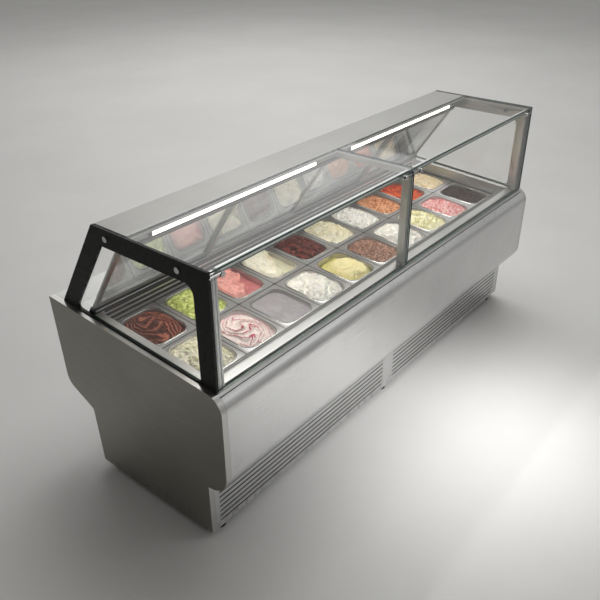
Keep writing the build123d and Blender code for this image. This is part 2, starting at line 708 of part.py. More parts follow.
def fan(x, z, y0, y1, radius, hub, blades, shaft_end):
    """An axial fan on a short shaft along Y."""
    rotor = rod(hub, (x, y0, z), (x, y1, z))
    span = radius - hub + 4
    middle = (y0 + y1) / 2
    for i in range(blades):
        blade = Pos(0, 0, hub - 4 + span / 2) * Rot(0, 0, 32) * Box(hub * 1.5, 2.5, span)
        rotor += Pos(x, middle, z) * Rot(0, i * 360 / blades, 0) * blade
    return rotor + rod(PIN_RADIUS, (x, y1, z), (x, shaft_end, z))


def condenser_fan():
    return fan(UNIT_X, FAN_Z, *FAN_Y, FAN_RADIUS, 32, 5, MOTOR_FACE_Y + 18)


EVAPORATOR_X = (-900.0, -100.0)
EVAPORATOR_Z = (486.0, 596.0)
WELL_FAN_X = -500.0
WELL_FAN_Z = 536.0
WELL_FAN_RADIUS = 48.0


def evaporator():
    """Finned coil, fan shroud and fan motor on the floor of the well."""
    x0, x1 = EVAPORATOR_X
    z0, z1 = EVAPORATOR_Z
    coil = block(x0, x1, -230, -90, z0, z1)
    for i in range(2 * FIN_SLOTS + 1):
        x = x0 + FIN_PITCH * (i + 1)
        coil -= block(x - 6, x + 6, -231, -89, z0 + 8, z1 - 8)
    legs = [block(x - 12, x + 12, -220, -100, WELL_FLOOR_Z, z0) for x in (x0 + 30, x1 - 30)]
    for leg in legs:
        coil += leg
    shroud = block(x0, x1, -20, -17, WELL_FLOOR_Z, z1)
    shroud -= rod(WELL_FAN_RADIUS + 3, (WELL_FAN_X, -21, WELL_FAN_Z), (WELL_FAN_X, -16, WELL_FAN_Z))
    motor = rod(20, (WELL_FAN_X, 22, WELL_FAN_Z), (WELL_FAN_X, 62, WELL_FAN_Z))
    motor += block(WELL_FAN_X - 8, WELL_FAN_X + 8, 28, 56, WELL_FLOOR_Z, WELL_FAN_Z)
    motor -= rod(PIN_RADIUS + FIT, (WELL_FAN_X, 21, WELL_FAN_Z), (WELL_FAN_X, 40, WELL_FAN_Z))
    return group(coil, shroud, motor)


def evaporator_fan():
    return fan(WELL_FAN_X, WELL_FAN_Z, -10, 8, WELL_FAN_RADIUS, 16, 5, 38)


SWITCH_X = -100.0
SWITCH_PIVOT = -8.0
SWITCH_TIP = 8.0


def control_panel():
    """Bezel on the server's side with a display window, three keys and a rocker housing."""
    width, height = CONTROL_SIZE
    plate = Box(width, height, 4, align=(Align.CENTER, Align.CENTER, Align.MIN))
    plate = fillet(plate.edges().filter_by(Axis.Z), 8)
    plate -= Pos(40, 0, 2) * Box(110, 46, 10, align=(Align.CENTER, Align.CENTER, Align.MIN))
    tray = Box(width - 34, height - 34, 40, align=(Align.CENTER, Align.CENTER, Align.MAX))
    tray -= Pos(SWITCH_X, 0, 0) * Box(24, 34, 60)
    plate -= Pos(SWITCH_X, 0, 0) * Box(24, 34, 60)
    panel = plate + tray
    for i in range(3):
        panel += Pos(-70 + 20 * i, -8, 4) * Cylinder(
            5, 2, align=(Align.CENTER, Align.CENTER, Align.MIN)
        )
    pivot = Pos(SWITCH_X, 0, SWITCH_PIVOT) * Rot(0, 90, 0) * Cylinder(2 - FIT, 28)
    return CONTROL_PLANE * (panel + pivot)


def power_switch():
    """A rocker on a cross pin, resting with its lower half pressed in."""
    section = make_face(Polyline((-14, 5), (0, 1), (14, 5), (12, -12), (-12, -12), (-14, 5)))
    rocker = extrude(Plane.YZ.offset(-11) * section, amount=22)
    rocker -= Pos(0, 0, SWITCH_PIVOT) * Rot(0, 90, 0) * Cylinder(2, 40)
    tipped = Pos(0, 0, SWITCH_PIVOT) * Rot(SWITCH_TIP, 0, 0) * Pos(0, 0, -SWITCH_PIVOT) * rocker
    return CONTROL_PLANE * Pos(SWITCH_X, 0, 0) * tipped


def drain_spigot():
    """Drain pipe from the well's floor, down and out through the base's rear."""
    top = WELL_FLOOR_Z - LINER
    rear = base_rear_y(DRAIN_Z)
    down = rod(DRAIN_RADIUS, (DRAIN_X, DRAIN_WELL_Y, DRAIN_Z), (DRAIN_X, DRAIN_WELL_Y, top))
    out = rod(DRAIN_RADIUS, (DRAIN_X, DRAIN_WELL_Y, DRAIN_Z), (DRAIN_X, rear + 6, DRAIN_Z))
    stub = rod(DRAIN_RADIUS - 1, (DRAIN_X, rear + 6, DRAIN_Z), (DRAIN_X, rear + 48, DRAIN_Z))
    bore = DRAIN_RADIUS - 3
    drop = rod(bore, (DRAIN_X, DRAIN_WELL_Y, DRAIN_Z), (DRAIN_X, DRAIN_WELL_Y, top + 1))
    run = out + stub + Pos(DRAIN_X, DRAIN_WELL_Y, DRAIN_Z) * Sphere(DRAIN_RADIUS)
    down = down - run - drop
    run -= drop
    run -= rod(bore, (DRAIN_X, DRAIN_WELL_Y, DRAIN_Z), (DRAIN_X, rear + 49, DRAIN_Z))
    return group(down, run)


def cable_gland():
    """Gland where the supply lead would enter the base, left empty."""
    y = base_rear_y(GLAND_Z)
    body = rod(GLAND_RADIUS - 0.5, (GLAND_X, y - 22, GLAND_Z), (GLAND_X, y + 2, GLAND_Z))
    flange = Plane(origin=(GLAND_X, y + 1.3, GLAND_Z), z_dir=(0, 1, 0)) * extrude(
        RegularPolygon(15, 6), amount=7
    )
    dome = rod(11, (GLAND_X, y + 7, GLAND_Z), (GLAND_X, y + 24, GLAND_Z))
    dome = fillet(dome.edges().sort_by(Axis.Y)[-1], 4)
    gland = body + flange + dome
    return gland - rod(5, (GLAND_X, y - 30, GLAND_Z), (GLAND_X, y + 40, GLAND_Z))


# ---------------------------------------------------------------- the whole cabinet

os.makedirs("parts", exist_ok=True)

save("end_panel_left", end_panel(-1))
save("end_panel_right", end_panel(1))
save("front_panel", front_panel())
save("base_front_panel", base_front_panel())
save("rear_panel", rear_panel())
save("front_ledge", front_ledge())
save("rear_ledge", rear_ledge())
save("base_frame", base_frame())
save("insulation", insulation())
save("tank_liner", tank_liner())
save("deck_frame", deck_frame())
save("end_frame_left", end_frame(-1))
save("end_frame_right", end_frame(1))
save("end_glass_panes", end_glass_panes())
save("glass_fittings", glass_fittings())
save("glass_posts", glass_posts())
save("top_shelf", top_shelf())
save("top_glass_panes", top_glass_panes())
save("led_lights", led_lights())
save("front_glass_left", front_glass(-1))
save("front_glass_right", front_glass(1))
save("door_tracks", door_tracks())
for index in range(DOOR_COUNT):
    save(f"rear_door_{index + 1}", rear_door(index))
save("condensing_unit", condensing_unit())
save("condenser_fan", condenser_fan())
save("evaporator", evaporator())
save("evaporator_fan", evaporator_fan())
save("control_panel", control_panel())
save("power_switch", power_switch())
save("drain_spigot", drain_spigot())
save("cable_gland", cable_gland())
for row_name, foot_y in zip(("front", "rear"), FOOT_Y):
    for side_name, foot_x in zip(("left", "middle", "right"), FOOT_X):
        save(f"foot_{row_name}_{side_name}", foot(foot_x, foot_y))
for row, row_name in enumerate(("front", "rear")):
    for column in range(COLUMNS):
        save(f"pan_{row_name}_{column + 1:02d}", pan(column, row))
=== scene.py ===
import json
import math

import bmesh
import bpy
from mathutils import Matrix, Vector, noise


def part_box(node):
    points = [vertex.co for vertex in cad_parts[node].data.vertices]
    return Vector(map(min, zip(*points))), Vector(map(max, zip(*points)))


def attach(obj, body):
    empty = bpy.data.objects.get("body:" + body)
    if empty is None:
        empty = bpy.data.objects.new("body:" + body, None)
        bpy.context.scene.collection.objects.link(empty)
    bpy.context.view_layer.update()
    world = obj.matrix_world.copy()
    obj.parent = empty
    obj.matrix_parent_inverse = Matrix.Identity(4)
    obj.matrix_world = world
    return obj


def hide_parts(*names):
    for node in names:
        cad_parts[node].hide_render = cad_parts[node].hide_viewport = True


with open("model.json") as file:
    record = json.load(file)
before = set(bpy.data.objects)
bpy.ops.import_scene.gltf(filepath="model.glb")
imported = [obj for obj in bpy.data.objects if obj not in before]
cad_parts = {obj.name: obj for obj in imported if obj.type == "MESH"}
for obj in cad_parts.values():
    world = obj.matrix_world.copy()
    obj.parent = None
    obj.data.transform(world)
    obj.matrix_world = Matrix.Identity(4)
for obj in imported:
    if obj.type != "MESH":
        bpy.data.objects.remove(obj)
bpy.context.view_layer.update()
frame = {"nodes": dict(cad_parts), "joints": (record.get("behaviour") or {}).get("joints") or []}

# Looks of the ice cream dipping cabinet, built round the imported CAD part.
# All lengths are in metres, in the frame of the CAD part.

nodes = frame["nodes"]
joints = {joint["name"]: joint for joint in frame["joints"]}

# ---------------------------------------------------------------- sizes

PAN_FLANGE = (0.262, 0.308, 0.008)
PAN_OPENING = (0.214, 0.262, 0.055)
PAN_WALL = 0.0012
PAN_DEPTH = 0.150
PAN_TAPER = math.tan(math.radians(3))
PAN_BEAD = 0.0045
RING_POINTS = 176
ICE_RINGS = 60
ICE_SKIRT = 0.030
COLUMNS = 10

WELL_REAR = 0.270
WELL_HALF = 1.329
WALL_SEAL_HEIGHTS = (0.838, 0.862, 0.886)
WALL_SEAL_WIDTH = 0.014

SILL_SEAL_FRONT = -0.4955
SILL_SEAL_REAR = -0.4885
GRILLE_DEPTH = 0.033
CLAMP_RADIUS = 0.0115
CLAMP_DROP = 0.003

THREAD_PITCH = 0.0018
SCREW_RADIUS = 0.0045
REAR_PANEL_LEAN = 0.0545
PANEL_SCREWS = 9
PANEL_SCREW_HEIGHTS = (0.50, 0.862)

# Pitch, rows and lowest height of the dark bars set behind the vent slots as painted shade.
SHADE_BAR_PITCH = 0.006
SHADE_BAR_ROWS = 38
SHADE_BAR_FOOT = 0.062
LED_CAP = 0.012
LED_CAP_GAP = 0.0004

# ---------------------------------------------------------------- colours


def tint(code):
    """A linear colour from an sRGB hex code."""
    channels = [int(code[i:i + 2], 16) / 255 for i in (1, 3, 5)]
    linear = [c / 12.92 if c <= 0.04045 else ((c + 0.055) / 1.055) ** 2.4 for c in channels]
    return (*linear, 1.0)


# ---------------------------------------------------------------- materials


class Finish:
    """A Principled material with helpers for the node patterns that all finishes share."""

    def __init__(self, name, roughness=0.4, metallic=0.0, **sockets):
        self.material = bpy.data.materials.new(name)
        self.material.use_nodes = True
        self.tree = self.material.node_tree
        self.shader = self.tree.nodes["Principled BSDF"]
        self.shader.inputs["Roughness"].default_value = roughness
        self.shader.inputs["Metallic"].default_value = metallic
        for socket, value in sockets.items():
            self.shader.inputs[socket.replace("_", " ")].default_value = value
        self.coordinates = self.node("ShaderNodeTexCoord").outputs["Object"]

    def node(self, kind, **settings):
        made = self.tree.nodes.new(kind)
        for name, value in settings.items():
            setattr(made, name, value)
        return made

    def link(self, output, socket):
        self.tree.links.new(output, socket)

    def noise(self, scale, stretch=(1, 1, 1), detail=3.0, roughness=0.55, warp=0.0):
        """Noise of so many features a metre, stretched by its scale along each axis."""
        return self.noise_over(self.coordinates, scale, stretch, detail, roughness, warp)

    def strokes(self, across, along, detail=3.0):
        """Noise drawn out along the paddle strokes that the mesh stores as its flow."""
        flow = self.node("ShaderNodeAttribute", attribute_name="flow").outputs["Vector"]
        return self.noise_over(flow, 1, (across, along, 1), detail, 0.6, 0.0)

    def noise_over(self, coordinates, scale, stretch, detail, roughness, warp):
        mapping = self.node("ShaderNodeMapping")
        mapping.inputs["Scale"].default_value = stretch
        self.link(coordinates, mapping.inputs["Vector"])
        texture = self.node("ShaderNodeTexNoise")
        texture.inputs["Scale"].default_value = scale
        texture.inputs["Detail"].default_value = detail
        texture.inputs["Roughness"].default_value = roughness
        texture.inputs["Distortion"].default_value = warp
        self.link(mapping.outputs["Vector"], texture.inputs["Vector"])
        return texture.outputs["Fac"]

    def cells(self, scale):
        """Distance from the nearest of scattered points, so many a metre."""
        texture = self.node("ShaderNodeTexVoronoi", feature="F1")
        texture.inputs["Scale"].default_value = scale
        self.link(self.coordinates, texture.inputs["Vector"])
        return texture.outputs["Distance"]

    def height_band(self, low, high):
        """1 below the lower height, falling to 0 at the upper one."""
        axes = self.node("ShaderNodeSeparateXYZ")
        self.link(self.coordinates, axes.inputs["Vector"])
        return self.remap(axes.outputs["Z"], low, high, 1, 0)

    def attribute(self, name):
        return self.node("ShaderNodeAttribute", attribute_name=name).outputs["Fac"]

    def remap(self, value, low, high, to_low=0.0, to_high=1.0):
        """Carry a value smoothly from one range to another, held at both ends."""
        made = self.node("ShaderNodeMapRange", interpolation_type="SMOOTHSTEP")
        for socket, number in zip(
            ("From Min", "From Max", "To Min", "To Max"), (low, high, to_low, to_high)
        ):
            made.inputs[socket].default_value = number
        self.link(value, made.inputs["Value"])
        return made.outputs["Result"]

    def math(self, operation, first, second):
        made = self.node("ShaderNodeMath", operation=operation)
        for socket, value in zip(made.inputs, (first, second)):
            if isinstance(value, (int, float)):
                socket.default_value = value
            else:
                self.link(value, socket)
        return made.outputs["Value"]

    def mix(self, factor, first, second):
        """Mix two colours, each an output or an RGBA value."""
        made = self.node("ShaderNodeMix", data_type="RGBA")
        if isinstance(factor, (int, float)):
            made.inputs["Factor"].default_value = factor
        else:
            self.link(factor, made.inputs["Factor"])
        for socket, value in ((made.inputs[6], first), (made.inputs[7], second)):
            if isinstance(value, tuple):
                socket.default_value = value
            else:
                self.link(value, socket)
        return made.outputs[2]

    def colour(self, output):
        self.link(output, self.shader.inputs["Base Color"])

    def rough(self, output):
        self.link(output, self.shader.inputs["Roughness"])

    def bump(self, *heights):
        """Stack bumps; each is (height output, depth in metres, strength)."""
        normal = None
        for height, depth, strength in heights:
            made = self.node("ShaderNodeBump")
            made.inputs["Distance"].default_value = depth
            made.inputs["Strength"].default_value = strength
            self.link(height, made.inputs["Height"])
            if normal is not None:
                self.link(normal, made.inputs["Normal"])
            normal = made.outputs["Normal"]
        self.link(normal, self.shader.inputs["Normal"])


GRAIN = {"x": (0.012, 1, 1), "y": (1, 0.012, 1), "z": (1, 1, 0.012)}


def brushed(name, light, dark, roughness=0.34, grain="x", metallic=1.0, scuffed=False):
    """Brushed sheet metal: long fine scratches, soft large patches and faint smears."""
    finish = Finish(name, roughness, metallic)
    scratches = finish.noise(620, GRAIN[grain], detail=4, roughness=0.7)
    streaks = finish.noise(70, GRAIN[grain], detail=2)
    patches = finish.noise(1.3, detail=2)
    smears = finish.noise(9, detail=4, warp=0.8)
    worn = finish.mix(finish.remap(patches, 0.32, 0.68), tint(dark), tint(light))
    lined = finish.mix(finish.remap(streaks, 0.3, 0.75, 0, 0.22), worn, tint(dark))
    fine = finish.mix(finish.remap(scratches, 0.42, 0.7, 0, 0.10), lined, tint("#F4F4F2"))
    if scuffed:
        marks = finish.noise(38, (1, 1, 0.5), detail=5, warp=1.2)
        near_floor = finish.height_band(0.04, 0.16)
        scuffs = finish.math("MULTIPLY", near_floor, finish.remap(marks, 0.5, 0.66))
        fine = finish.mix(finish.math("MULTIPLY", scuffs, 0.35), fine, tint("#5A5854"))
    finish.colour(fine)
    base = finish.remap(smears, 0.3, 0.7, roughness - 0.01, roughness + 0.015)
    finish.rough(finish.math("ADD", base, finish.remap(scratches, 0.3, 0.8, -0.03, 0.05)))
    finish.bump((scratches, 0.0002, 0.05), (patches, 0.002, 0.02))
    return finish.material


def coated(name, colour, edge, roughness, grain_size=900, depth=0.0002, specular=0.5):
    """Powder coat or moulded plastic: fine orange peel, dust and slight shade changes."""
    finish = Finish(name, roughness, Specular_IOR_Level=specular)
    peel = finish.noise(grain_size, detail=2)
    shade = finish.noise(6, detail=4)
    dust = finish.noise(45, detail=5, roughness=0.7)
    base = finish.mix(finish.remap(shade, 0.3, 0.7, 0, 0.6), tint(colour), tint(edge))
    finish.colour(finish.mix(finish.remap(dust, 0.58, 0.75, 0, 0.3), base, tint(edge)))
    finish.rough(finish.remap(dust, 0.3, 0.75, roughness - 0.06, roughness + 0.14))
    finish.bump((peel, depth, 0.35))
    return finish.material


def glazing(name, colour, index=1.45):
    """Safety glass: what is behind shows through its colour, under a Fresnel reflection."""
    finish = Finish(name)
    tree = finish.tree
    tree.nodes.remove(finish.shader)
    haze = finish.noise(3, detail=4, warp=0.6)
    clear = finish.node("ShaderNodeBsdfTransparent")
    finish.link(
        finish.mix(finish.remap(haze, 0.35, 0.7, 0, 0.5), tint(colour), tint("#FFFFFF")),
        clear.inputs["Color"],
    )
    mirrored = finish.node("ShaderNodeBsdfGlossy")
    mirrored.inputs["Color"].default_value = tint("#FFFFFF")
    finish.link(
        finish.remap(finish.noise(30, (0.2, 1, 1)), 0.3, 0.75, 0.03, 0.08),
        mirrored.inputs["Roughness"],
    )
    fresnel = finish.node("ShaderNodeFresnel")
    fresnel.inputs["IOR"].default_value = index
    inside = finish.node("ShaderNodeNewGeometry").outputs["Backfacing"]
    outside = finish.math("SUBTRACT", 1.0, inside)
    blend = finish.node("ShaderNodeMixShader")
    finish.link(finish.math("MULTIPLY", fresnel.outputs["Fac"], outside), blend.inputs["Fac"])
    finish.link(clear.outputs["BSDF"], blend.inputs[1])
    finish.link(mirrored.outputs["BSDF"], blend.inputs[2])
    finish.link(blend.outputs["Shader"], tree.nodes["Material Output"].inputs["Surface"])
    return finish.material


def glossy(name, colour, light, roughness):
    """Smooth dark glass or a pane's ground edge, with faint mottling."""
    finish = Finish(name, roughness, 0.0, IOR=1.5)
    mottle = finish.noise(80, detail=4)
    finish.colour(finish.mix(finish.remap(mottle, 0.35, 0.7), tint(colour), tint(light)))
    finish.rough(finish.remap(mottle, 0.3, 0.7, roughness, roughness + 0.1))
    finish.bump((mottle, 0.0002, 0.2))
    return finish.material


def glowing(name, colour, strength):
    """A lit diffuser, a little brighter in the middle of each diode."""
    finish = Finish(name, 0.5)
    finish.colour(finish.mix(finish.noise(60, (1, 0.05, 0.05)), tint(colour), tint("#FFFFFF")))
    finish.shader.inputs["Emission Color"].default_value = tint(colour)
    finish.shader.inputs["Emission Strength"].default_value = strength
    return finish.material


def foam_finish():
    """Cut polyurethane foam: open pores and slight shade changes."""
    finish = Finish("cut_foam", 0.85)
    pores = finish.cells(450)
    shade = finish.noise(7, detail=4)
    finish.colour(finish.mix(finish.remap(shade, 0.3, 0.7), tint("#D9C48C"), tint("#E9DDB4")))
    finish.rough(finish.remap(pores, 0.0, 0.6, 0.95, 0.75))
    finish.bump((pores, 0.0008, 0.5))
    return finish.material


def ice_finish(name, base, accent, trough_shade_tone, band=(0.45, 0.7), speckle=None, gloss=0.30):
    """Ice cream: paddle strokes, two tones that follow them, painted shade in the troughs, ice crystals
    and inclusions.
    """
    finish = Finish("ice_" + name, gloss, 0.0, Subsurface_Weight=0.10)
    finish.shader.inputs["Subsurface Radius"].default_value = (0.006, 0.004, 0.003)
    finish.shader.inputs["Subsurface Scale"].default_value = 0.4
    ripple = finish.attribute("ripple")
    depth = finish.attribute("trough_shade")
    grainy = finish.noise(420, detail=4, roughness=0.7)
    marbling = finish.noise(34, detail=5, roughness=0.65, warp=1.2)
    strands = finish.strokes(26, 2.2, detail=4)
    wisps = finish.strokes(9, 1.4, detail=3)
    edge = finish.math("ADD", ripple, finish.remap(strands, 0.3, 0.7, -0.16, 0.16))
    edge = finish.math("ADD", edge, finish.remap(marbling, 0.3, 0.7, -0.12, 0.12))
    body = finish.mix(finish.remap(edge, *band), tint(base), tint(accent))
    body = finish.mix(finish.remap(wisps, 0.5, 0.68, 0, 0.22), body, tint(accent))
    # Painted shade: the lower parts of the surface take the darker trough colour.
    body = finish.mix(finish.remap(depth, 0.15, 1.0, 0, 0.8), body, tint(trough_shade_tone))
    body = finish.mix(finish.remap(grainy, 0.58, 0.75, 0, 0.16), body, tint("#FFFFFF"))
    if speckle:
        bits = finish.cells(95)
        spots = finish.math(
            "MULTIPLY", finish.remap(bits, 0.20, 0.32, 1, 0), finish.remap(marbling, 0.46, 0.56)
        )
        body = finish.mix(spots, body, tint(speckle))
    finish.colour(body)
    finish.rough(finish.remap(grainy, 0.3, 0.7, gloss, gloss + 0.22))
    finish.bump((strands, 0.009, 0.6), (marbling, 0.003, 0.3), (grainy, 0.001, 0.3))
    return finish.material


body_sheet = brushed("body_brushed_steel", "#D6D6D6", "#CBCBCB", 0.30, "x", scuffed=True)
# Painted shade: the end panels' outer sheets are coloured darker than the body steel, standing in for
# the side turned away from the light.
shaded_end_sheet = brushed("end_steel_painted_shade", "#98958D", "#8D8A82", 0.40, "y", scuffed=True)
rim_sheet = brushed("rim_brushed_steel", "#CFCECB", "#BDBBB7", 0.32, "y")
stainless = brushed("stainless_sheet", "#C2C2C0", "#B4B4B3", 0.34, "x")
shelf_sheet = brushed("shelf_sheet", "#9E9D99", "#949390", 0.42, "x", 0.9)
liner_sheet = brushed("liner_sheet", "#D8D8D6", "#C8C8C6", 0.38, "x", 0.7)
grille_sheet = brushed("air_grille_steel", "#8F8F8D", "#7D7D7B", 0.42, "x", 0.85)
# Painted shade: the deck bars are coloured dark so that the gaps between the pans read as shadow.
shaded_deck_sheet = brushed("deck_bar_painted_shade", "#55565A", "#45464A", 0.45, "x", 0.8)
pan_sheet = brushed("pan_steel", "#C9C8C8", "#BDBBBC", 0.34, "y", 0.85)
# The pan's bead is polished (lower roughness) and is also coloured lighter than the pan as a painted
# highlight.
bead_sheet_painted_highlight = brushed("pan_bead_painted_highlight", "#F2F2F0", "#DCDCDA", 0.18, "y")
profile_metal = brushed("aluminium_profile", "#D4D6D6", "#C2C5C6", 0.34, "z", 0.85)
rail_metal = brushed("aluminium_rail", "#C4C5C4", "#B4B5B4", 0.34, "x", 0.9)
chrome = brushed("chrome_fitting", "#C9CACA", "#B0B1B1", 0.16, "x")
black_coat = coated("black_powder_coat", "#070807", "#101110", 0.42, specular=0.22)
chassis_coat = coated("chassis_coat", "#26272A", "#34363A", 0.5)
unit_coat = coated("unit_coat", "#141517", "#24262A", 0.38)
moulded = coated("black_moulding", "#0E0E10", "#1A1A1C", 0.45, 1400, 0.00012, 0.3)
rubber = coated("seal_rubber", "#161718", "#26272A", 0.6, 1800, 0.0001, 0.3)
fin_metal = brushed("coil_fins", "#BFC3C6", "#8E9396", 0.45, "z")
clear_glass = glazing("clear_glass", "#FBFBFA")
door_glass = glazing("door_glass", "#B9BAB7", 4.2)
green_edge = glossy("glass_edge", "#16382F", "#2F6658", 0.14)
window_glass = glossy("display_window", "#07080A", "#0C0E11", 0.08)
lamp = glowing("lit_diffuser", "#FFFAEE", 3.2)
pilot = glowing("pilot_light", "#5BE37A", 3.0)
foam = foam_finish()

# ---------------------------------------------------------------- CAD nodes that keep their shape


def dress(node, materials, choose=None):
    """Give a CAD node its materials; choose(face) says which one a face takes."""
    mesh = nodes[node].data
    mesh.materials.clear()
    for material in materials:
        mesh.materials.append(material)
    for face in mesh.polygons:
        face.material_index = choose(face) if choose else 0


def flat_along(axis):
    """Chooser: 0 for faces square to an axis, 1 for the rest, such as a pane's edges."""

    def choose(face):
        return 0 if abs(face.normal[axis]) > 0.9 else 1

    return choose


outer_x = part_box("end_panel_right")[1].x


def end_panel_face(face):
    """0 outer sheet, 1 folded rim."""
    return 0 if abs(face.center.x) > outer_x - 0.001 else 1


def inner_face(face):
    """0 outside and edges, 1 the side that faces the display."""
    return 1 if face.normal.x * face.center.x < -0.9 * abs(face.center.x) else 0


def buried_face(face):
    """0 cut foam, 1 dark rubber finish on the sides that face the front sheets."""
    return 1 if face.normal.y < -0.3 else 0


def track_face(face):
    """0 black channel, 1 bright ribs, whose edges are the narrow strips on top."""
    return 1 if face.area < 0.0085 and face.normal.z > 0.5 else 0


for side in ("left", "right"):
    dress(f"end_panel_{side}", [shaded_end_sheet, rim_sheet], end_panel_face)
    dress(f"end_frame_{side}", [black_coat, profile_metal], inner_face)
for node in ("front_panel", "base_front_panel", "rear_panel"):
    dress(node, [body_sheet])
for node in ("rear_ledge", "drain_spigot"):
    dress(node, [stainless])
dress("top_shelf", [shelf_sheet])
dress("tank_liner", [liner_sheet])
dress("deck_frame", [shaded_deck_sheet])
dress("insulation", [foam, rubber], buried_face)
dress("base_frame", [chassis_coat])
dress("glass_fittings", [chrome])
dress("glass_posts", [profile_metal])
dress("door_tracks", [moulded, rail_metal], track_face)
dress("evaporator", [fin_metal])
for node in ("condenser_fan", "evaporator_fan", "control_panel", "power_switch", "cable_gland"):
    dress(node, [moulded])
dress("top_glass_panes", [clear_glass, green_edge], flat_along(2))
dress("end_glass_panes", [clear_glass, green_edge], flat_along(0))

grille_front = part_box("front_ledge")[1].y - GRILLE_DEPTH


def ledge_face(face):
    """0 steel, 1 rubber seal, 2 dull grille."""
    if SILL_SEAL_FRONT < face.center.y < SILL_SEAL_REAR and face.area < 0.02:
        return 1
    return 2 if face.center.y > grille_front else 0


dress("front_ledge", [stainless, rubber, grille_sheet], ledge_face)

_, pane_y, hinge_z = joints["front_glass_left_lift"]["pos_m"]


def front_glass_face(face):
    """0 clear glass, 1 green edge, 2 steel clamp."""
    near_clamp = abs(face.center.z - (hinge_z - CLAMP_DROP)) < CLAMP_RADIUS
    if abs(face.center.y - pane_y) > 0.0032 and near_clamp:
        return 2
    if near_clamp and face.area < 0.0002 and abs(face.normal.y) < 0.5:
        return 2
    return 0 if abs(face.normal.y) > 0.9 else 1


for side in ("left", "right"):
    dress(f"front_glass_{side}", [clear_glass, green_edge, chrome], front_glass_face)


def door_face(face):
    """0 aluminium frame, 1 glass."""
    return 1 if face.area > 0.05 else 0


for index in range(4):
    dress(f"rear_door_{index + 1}", [rail_metal, door_glass], door_face)

unit_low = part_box("condensing_unit")[0]
COIL_DEPTH = 0.067
BASE_PLATE = 0.006


def unit_face(face):
    """0 black steel, 1 condenser fins."""
    in_coil = face.center.y < unit_low.y + COIL_DEPTH
    return 1 if in_coil and face.center.z > unit_low.z + BASE_PLATE else 0


dress("condensing_unit", [unit_coat, fin_metal], unit_face)

# ---------------------------------------------------------------- mesh helpers


def finish_piece(name, builder, materials, body, place=None, crease=35):
    """Turn a bmesh into a piece of the object that rides on a body."""
    mesh = bpy.data.meshes.new(name)
    bmesh.ops.recalc_face_normals(builder, faces=builder.faces)
    builder.to_mesh(mesh)
    builder.free()
    for material in materials:
        mesh.materials.append(material)
    mesh.shade_smooth()
    mesh.set_sharp_from_angle(angle=math.radians(crease))
    piece = bpy.data.objects.new(name, mesh)
    if place is not None:
        piece.matrix_world = place
    bpy.context.scene.collection.objects.link(piece)
    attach(piece, body)
    return piece


def rounded_ring(width, length, radius):
    """Points evenly spaced round a rounded rectangle, anticlockwise from the +X side's middle."""
    a, b = width / 2 - radius, length / 2 - radius
    arc = radius * math.pi / 2
    quarter = b + arc + a
    points = []
    for i in range(RING_POINTS):
        quadrant, along = divmod(4 * quarter * i / RING_POINTS, quarter)
        if quadrant % 2:
            along = quarter - along
        if along < b:
            x, y = width / 2, along
        elif along < b + arc:
            angle = (along - b) / radius
            x, y = a + radius * math.cos(angle), b + radius * math.sin(angle)
        else:
            x, y = a - (along - b - arc), length / 2
        points.append((x if quadrant in (0, 3) else -x, y if quadrant in (0, 1) else -y))
    return points


def loft(builder, rings, material=0):
    """Join rings of equal count with quads; returns the rings' vertices."""
    made = [[builder.verts.new(point) for point in ring] for ring in rings]
    for first, second in zip(made, made[1:]):
        count = len(first)
        for i in range(count):
            face = builder.faces.new(
                (first[i], first[(i + 1) % count], second[(i + 1) % count], second[i])
            )
            face.material_index = material
    return made


def lathe(builder, profile, centre, segments=40, material=0):
    """Turn a profile of (radius, height) about a vertical line and cap both ends."""
    x, y, z = centre
    angles = [math.tau * i / segments for i in range(segments)]
    rings = [
        [(x + r * math.cos(angle), y + r * math.sin(angle), z + h) for angle in angles]
        for r, h in profile
    ]
    made = loft(builder, rings, material=material)
    for ring in (made[0], made[-1]):
        builder.faces.new(ring).material_index = material


def prism(builder, section, x0, x1):
    """Extrude a closed (y, z) section along X, with both ends capped."""
    rings = [[(x, y, z) for y, z in section] for x in (x0, x1)]
    for ring in loft(builder, rings):
        builder.faces.new(ring)


# ---------------------------------------------------------------- pans and ice cream


def pan_place(node):
    """Where a pan's flange is: its centre, with Z along the deck's normal."""
    normal = Vector(joints[node + "_lift"]["axis"]).normalized()
    low_corner, high_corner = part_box(node)
    rim = [
        v.co
        for v in nodes[node].data.vertices
        if min(v.co.x - low_corner.x, high_corner.x - v.co.x) < 1e-5
    ]
    centre = sum(rim, Vector()) / len(rim) - normal * PAN_WALL / 2
    across = Vector((1, 0, 0))
    turn = Matrix((across, normal.cross(across), normal)).transposed().to_4x4()
    return Matrix.Translation(centre) @ turn


def inner_ring(inwards, depth):
    """A ring of the pan's wall, so far inside the opening and so deep under the flange."""
    width, length, radius = PAN_OPENING
    shrink = 2 * (inwards + depth * PAN_TAPER)
    return rounded_ring(width - shrink, length - shrink, radius - shrink / 2)


def lifted(ring, height):
    """A flat ring's points at a height."""
    return [(x, y, height) for x, y in ring]


